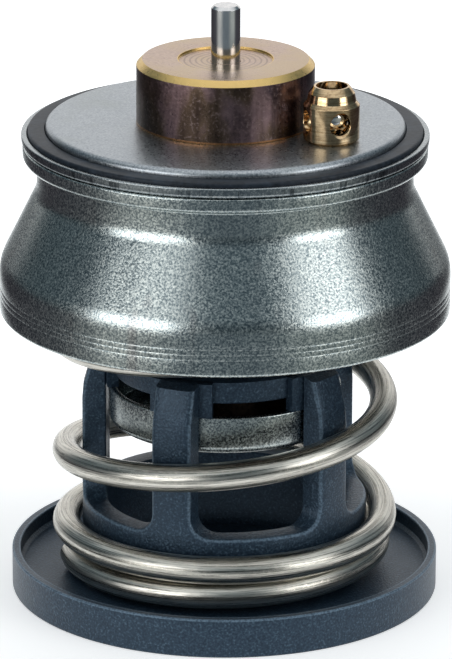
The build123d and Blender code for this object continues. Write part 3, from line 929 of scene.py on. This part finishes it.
# Vent: a turned brass body riveted through the plates and drilled with four holes. Inside it has
# a seat for the ball, under a narrowed mouth.
vent_radius = 4.15
vent_reach = 18.58
vent_at = -32.92
vent_height = 8.3
vent_foot_chamfer = 0.4
vent_shoulder_height = 5.5
vent_nose = ((3.65, 6.1), (3.4, 7.3), (2.65, vent_height))
vent_mouth_radius = 2.3
vent_throat_height = 6.0
vent_seat_height = 1.4
vent_seat_radius = 1.5
vent_bore_radius = 3.05
vent_spigot_radius = 2.4
vent_rivet_radius = 3.1
vent_rivet_z = 71.3
vent_foot_z = 70.4
vent_hole_radius = 1.6
vent_hole_height = 3.2
vent_holes = 4
vent_hole_at = -71.2
vent_hole_bevel = 0.35
vent_x = vent_reach * cos(radians(vent_at))
vent_y = vent_reach * sin(radians(vent_at))
form = bmesh.new()
lathe(form, [
    (vent_seat_radius, vent_foot_z, 0),
    (vent_rivet_radius, vent_foot_z, 0.2),
    (vent_rivet_radius, vent_rivet_z, 0),
    (vent_spigot_radius, vent_rivet_z, 0),
    (vent_spigot_radius, disc_top_z, 0),
    (vent_radius - vent_foot_chamfer, disc_top_z, 0.05),
    (vent_radius, disc_top_z + vent_foot_chamfer, 0.05),
    (vent_radius, disc_top_z + vent_shoulder_height, 0.08),
    *((r, disc_top_z + height, 0.08) for r, height in vent_nose),
    (vent_mouth_radius, disc_top_z + vent_height, 0.06),
    (vent_bore_radius, disc_top_z + vent_throat_height, 0.1),
    (vent_bore_radius, disc_top_z + vent_seat_height, 0),
    (vent_seat_radius, disc_top_z + vent_seat_height, 0),
], steps=144)
vent = piece_from("vent_shell", form)

cutter = bmesh.new()
lathe(cutter, [
    (0, 0, 0),
    (vent_hole_radius, 0, 0),
    (vent_hole_radius, vent_radius - vent_hole_bevel, 0),
    (vent_hole_radius + 2 * vent_hole_bevel, vent_radius + vent_hole_bevel, 0),
    (0, vent_radius + vent_hole_bevel, 0),
], steps=48)
bmesh.ops.rotate(cutter, verts=cutter.verts, matrix=Matrix.Rotation(pi / 2, 3, "Y"))
bmesh.ops.translate(cutter, verts=cutter.verts, vec=(0, 0, (disc_top_z + vent_hole_height) * mm))
bmesh.ops.recalc_face_normals(cutter, faces=cutter.faces)
drill = piece_from("vent_drill", cutter)

holes, sizes = shape_tree("holes_round_a_tube", copies="Int", first_angle="Float", drill="Object")
drill_bit = step(holes, "GeometryNodeObjectInfo", link=4, Object=sizes["drill"])
drills = turned_copies(holes, sizes, drill_bit)
drills = step(holes, "GeometryNodeRealizeInstances", Geometry=drills)
cut = holes.nodes.new("GeometryNodeMeshBoolean")
cut.operation = "DIFFERENCE"
cut.solver = "EXACT"
holes.links.new(sizes["geometry"], cut.inputs["Mesh 1"])
holes.links.new(drills, cut.inputs["Mesh 2"])
end_tree(holes, sizes, cut.outputs[0])

vent_brass, tree, shader, place = new_finish("vent_brass", (0.85, 0.66, 0.36), 0.2, 1.0)
tool_marks = noise(tree, place, 700, 2, (0.3, 0.3, 6))
speckle = noise(tree, place, 2400, 2)
tone = ramp(tree, tool_marks, (0.35, (0.50, 0.33, 0.17)), (0.65, (0.78, 0.58, 0.35)))
tone = mix(tree, ranged(tree, speckle, 0.0, 0.5, 0.5, 0.7), tone, (0.28, 0.18, 0.10))
tree.links.new(tone, shader.inputs["Base Color"])
tree.links.new(ranged(tree, speckle, 0.08, 0.18), shader.inputs["Roughness"])
relief(tree, shader, tool_marks, 0.01)
shape(vent, holes, copies=vent_holes, first_angle=radians(vent_hole_at), drill=drill, finish=vent_brass)
bpy.data.objects.remove(drill)
vent.data.transform(Matrix.Translation((vent_x * mm, vent_y * mm, 0)))
dress(vent, vent_brass, "valve", "vent_brass", "vent_body")

# Vent ball: polished steel, loose on the seat in the vent. It can lift until the narrowed mouth
# stops it.
ball_radius = 2.7
ball_z = 76.895
form = bmesh.new()
turns = [radians(a) for a in range(-84, 90, 6)]
arc = [(ball_radius * cos(a), ball_z + ball_radius * sin(a), 0) for a in turns]
ball_outline = [(0, ball_z - ball_radius, 0), *arc, (0, ball_z + ball_radius, 0)]
lathe(form, ball_outline, steps=64, centre=(vent_x, vent_y))
ball_steel, tree, shader, place = new_finish("ball_steel", (0.78, 0.76, 0.72), 0.08, 1.0)
tree.links.new(ranged(tree, noise(tree, place, 1500, 2), 0.05, 0.14), shader.inputs["Roughness"])
dress(piece_from("vent_bead", form), ball_steel, "ball", "ball_steel", "vent_ball")
